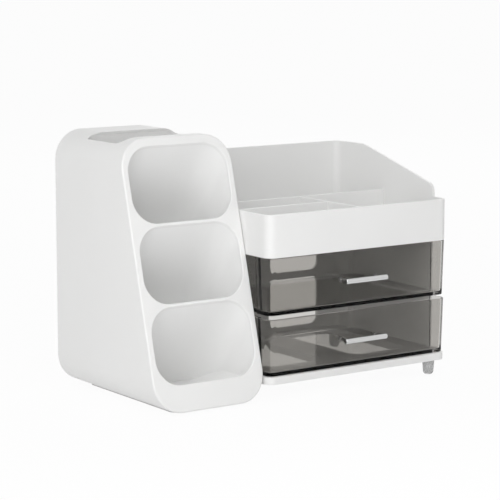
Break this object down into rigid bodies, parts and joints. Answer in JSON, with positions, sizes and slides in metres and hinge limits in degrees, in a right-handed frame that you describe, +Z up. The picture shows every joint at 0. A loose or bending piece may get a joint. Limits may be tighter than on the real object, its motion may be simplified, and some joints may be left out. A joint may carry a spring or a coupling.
{
  "type": "makeup drawer organizer",
  "caption": "White cosmetics organizer with smoky pull-out drawers under a divided open tray, hooked beside a leaning-front tower of slanted brush holders.",
  "frame": {"origin": "middle of the whole footprint, at the ground the pad and feet stand on", "axes": "+X to the object's right as seen from its drawer fronts, -Y the way the drawers pull out, +Z up"},
  "size_m": [0.3122, 0.1773, 0.2281],
  "materials": {
    "white_plastic": "satin",
    "smoke_plastic": "clear smoky gloss",
    "chrome": "polished",
    "screw_steel": "plated",
    "clear_foot": "translucent grey",
    "pad_foam": "matte"
  },
  "bodies": {
    "tower": {"tower_shell": "white_plastic", "lower_cup": "white_plastic", "middle_cup": "white_plastic", "upper_cup": "white_plastic", "brush_well": "white_plastic", "tower_back_cover": "white_plastic", "tower_pad": "pad_foam"},
    "drawer_unit": {"base_plate": "white_plastic", "front_foot": "clear_foot", "rear_foot": "clear_foot", "left_side_panel": "white_plastic", "right_side_panel": "white_plastic", "back_panel": "white_plastic", "top_tray": "white_plastic", "tray_cross_divider": "white_plastic", "tray_centre_divider": "white_plastic", "tray_short_divider": "white_plastic"},
    "lower_drawer_set": {"lower_drawer": "smoke_plastic", "lower_handle_bar": "chrome", "lower_handle_posts": "chrome", "lower_handle_screws": "screw_steel"},
    "upper_drawer_set": {"upper_drawer": "smoke_plastic", "upper_handle_bar": "chrome", "upper_handle_posts": "chrome", "upper_handle_screws": "screw_steel"}
  },
  "joints": [
    {"name": "drawer_unit_lift", "type": "slide", "parent": "tower", "child": "drawer_unit", "axis": [0, 0, 1], "range_m": [0, 0.006]},
    {"name": "lower_drawer_slide", "type": "slide", "parent": "drawer_unit", "child": "lower_drawer_set", "axis": [0, -1, 0], "range_m": [0, 0.11]},
    {"name": "upper_drawer_slide", "type": "slide", "parent": "drawer_unit", "child": "upper_drawer_set", "axis": [0, -1, 0], "range_m": [0, 0.11]}
  ]
}
